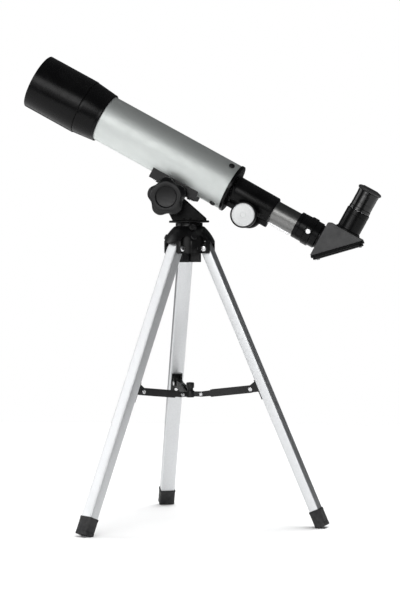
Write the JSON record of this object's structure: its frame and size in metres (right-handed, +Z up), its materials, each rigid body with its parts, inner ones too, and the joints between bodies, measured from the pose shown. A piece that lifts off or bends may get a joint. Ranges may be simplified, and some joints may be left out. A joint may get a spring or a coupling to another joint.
{
  "type": "telescope on tripod",
  "caption": "Small refracting telescope with a star diagonal and eyepiece on a folding tabletop tripod with a spreader.",
  "frame": {"origin": "centre of the footprint on the ground, under the bounding box", "axes": "+Z up; the tube lies in the X-Z plane, objective towards -X, clamp knob side towards -Y"},
  "size_m": [0.414, 0.2882, 0.5407],
  "materials": {
    "black_gloss": "glossy black moulded plastic",
    "black_satin": "satin black moulded plastic",
    "silver_paint": "silver metallic paint, satin",
    "leg_aluminium": "anodised aluminium, satin",
    "black_rubber": "matt black rubber",
    "black_steel": "black painted steel",
    "bright_metal": "nickel plated steel",
    "dark_metal": "dark chrome plated tube",
    "black_screw": "black oxide screws",
    "knob_silver": "silver painted knob disc",
    "eyepiece_black": "glossy black lacquered barrel",
    "optical_glass": "coated optical glass"
  },
  "bodies": {
    "tripod_head": {"tripod_head": "black_satin", "leg_rivets": "bright_metal", "head_screws": "black_screw", "azimuth_bolt": "bright_metal", "azimuth_nut": "bright_metal"},
    "azimuth_lock_screw": {"azimuth_lock_screw": "black_screw"},
    "mount_yoke": {"mount_yoke": "black_satin", "altitude_bolt": "bright_metal", "altitude_washer": "bright_metal"},
    "altitude_knob": {"altitude_knob": "black_satin"},
    "telescope_tube": {"main_tube": "silver_paint", "objective_cell": "black_gloss", "crown_lens": "optical_glass", "flint_lens": "optical_glass", "lens_retaining_ring": "black_satin", "dew_shield": "black_gloss", "saddle": "black_satin", "saddle_screws": "bright_metal", "focuser_body": "black_gloss", "focuser_screws": "black_screw", "pinion_cover": "black_gloss", "pinion_cover_screws": "bright_metal"},
    "pinion": {"pinion_shaft": "bright_metal", "near_focus_knob": "black_satin", "near_knob_disc": "knob_silver", "far_focus_knob": "black_satin", "far_knob_disc": "knob_silver"},
    "draw_tube": {"draw_tube": "dark_metal", "focus_rack": "bright_metal", "draw_tube_collar": "black_gloss"},
    "collar_thumb_screw": {"collar_thumb_screw": "bright_metal"},
    "star_diagonal": {"diagonal_barrel": "black_gloss", "diagonal_housing": "black_gloss", "diagonal_prism": "optical_glass", "diagonal_back_plate": "black_satin", "back_plate_screws": "bright_metal", "eyepiece_holder": "black_gloss"},
    "eyepiece": {"eyepiece_barrel": "bright_metal", "eyepiece_body": "eyepiece_black", "eyepiece_cup": "black_rubber", "field_lens": "optical_glass", "eye_lens": "optical_glass"},
    "right_leg": {"right_leg_tube": "leg_aluminium", "right_foot_cap": "black_rubber", "right_leg_bracket": "black_steel", "right_bracket_rivets": "bright_metal"},
    "right_arm": {"right_spreader_arm": "black_steel"},
    "back_leg": {"back_leg_tube": "leg_aluminium", "back_foot_cap": "black_rubber", "back_leg_bracket": "black_steel", "back_bracket_rivets": "bright_metal"},
    "back_arm": {"back_spreader_arm": "black_steel"},
    "left_leg": {"left_leg_tube": "leg_aluminium", "left_foot_cap": "black_rubber", "left_leg_bracket": "black_steel", "left_bracket_rivets": "bright_metal"},
    "left_arm": {"left_spreader_arm": "black_steel"},
    "spreader_hub": {"spreader_hub": "black_steel"}
  },
  "joints": [
    {"name": "azimuth_turn", "type": "hinge", "parent": "tripod_head", "child": "mount_yoke", "pos_m": [-0.01419, -0.01169, 0.3465], "axis": [0, 0, 1], "continuous": true},
    {"name": "azimuth_lock_turn", "type": "hinge", "parent": "tripod_head", "child": "azimuth_lock_screw", "pos_m": [-0.01419, -0.01169, 0.341], "axis": [0.3567, -0.9342, 0], "range_deg": [0, 360]},
    {"name": "altitude_turn", "type": "hinge", "parent": "mount_yoke", "child": "telescope_tube", "pos_m": [-0.0355, -0.01169, 0.37565], "axis": [0, 1, 0], "range_deg": [-45, 14]},
    {"name": "altitude_knob_turn", "type": "hinge", "parent": "mount_yoke", "child": "altitude_knob", "pos_m": [-0.0355, -0.01169, 0.37565], "axis": [0, -1, 0], "range_deg": [0, 360]},
    {"name": "draw_tube_slide", "type": "slide", "parent": "telescope_tube", "child": "draw_tube", "axis": [0.8729, 0, -0.4879], "range_m": [-0.028, 0.02]},
    {"name": "pinion_turn", "type": "hinge", "parent": "telescope_tube", "child": "pinion", "pos_m": [0.0524, -0.01169, 0.35459], "axis": [0, 1, 0], "range_deg": [-450, 325]},
    {"name": "collar_screw_turn", "type": "hinge", "parent": "draw_tube", "child": "collar_thumb_screw", "pos_m": [0.12539, -0.01169, 0.33556], "axis": [0, -1, 0], "range_deg": [0, 360]},
    {"name": "diagonal_turn", "type": "hinge", "parent": "draw_tube", "child": "star_diagonal", "pos_m": [0.12888, -0.01169, 0.33361], "axis": [0.8729, 0, -0.4879], "range_deg": [-90, 90]},
    {"name": "eyepiece_slide", "type": "slide", "parent": "star_diagonal", "child": "eyepiece", "axis": [0.4879, 0, 0.8729], "range_m": [0, 0.022]},
    {"name": "right_leg_fold", "type": "hinge", "parent": "tripod_head", "child": "right_leg", "pos_m": [0.00694, -0.01508, 0.3168], "axis": [0.1582, 0.9874, 0], "range_deg": [0, 17]},
    {"name": "right_arm_fold", "type": "hinge", "parent": "right_leg", "child": "right_arm", "pos_m": [0.05895, -0.02341, 0.15581], "axis": [-0.1582, -0.9874, 0], "range_deg": [0, 92]},
    {"name": "back_leg_fold", "type": "hinge", "parent": "tripod_head", "child": "back_leg", "pos_m": [-0.02183, 0.0083, 0.3168], "axis": [-0.9342, -0.3567, 0], "range_deg": [0, 17]},
    {"name": "back_arm_fold", "type": "hinge", "parent": "back_leg", "child": "back_arm", "pos_m": [-0.04062, 0.05751, 0.15581], "axis": [0.9342, 0.3567, 0], "range_deg": [0, 92]},
    {"name": "left_leg_fold", "type": "hinge", "parent": "tripod_head", "child": "left_leg", "pos_m": [-0.02769, -0.0283, 0.3168], "axis": [0.776, -0.6307, 0], "range_deg": [0, 17]},
    {"name": "left_arm_fold", "type": "hinge", "parent": "left_leg", "child": "left_arm", "pos_m": [-0.06091, -0.06918, 0.15581], "axis": [-0.776, 0.6307, 0], "range_deg": [0, 92]},
    {"name": "hub_slide", "type": "slide", "parent": "tripod_head", "child": "spreader_hub", "axis": [0, 0, -1], "range_m": [0, 0.0618]}
  ],
  "couplings": [
    {"joint": "pinion_turn", "follows": "draw_tube_slide", "rad_per_m": 277.78},
    {"joint": "right_arm_fold", "follows": "right_leg_fold", "ratio": 5.3025},
    {"joint": "back_arm_fold", "follows": "right_leg_fold", "ratio": 5.3025},
    {"joint": "back_leg_fold", "follows": "right_leg_fold", "ratio": 1},
    {"joint": "left_arm_fold", "follows": "right_leg_fold", "ratio": 5.3025},
    {"joint": "left_leg_fold", "follows": "right_leg_fold", "ratio": 1},
    {"joint": "hub_slide", "follows": "right_leg_fold", "m_per_rad": 0.20497}
  ]
}
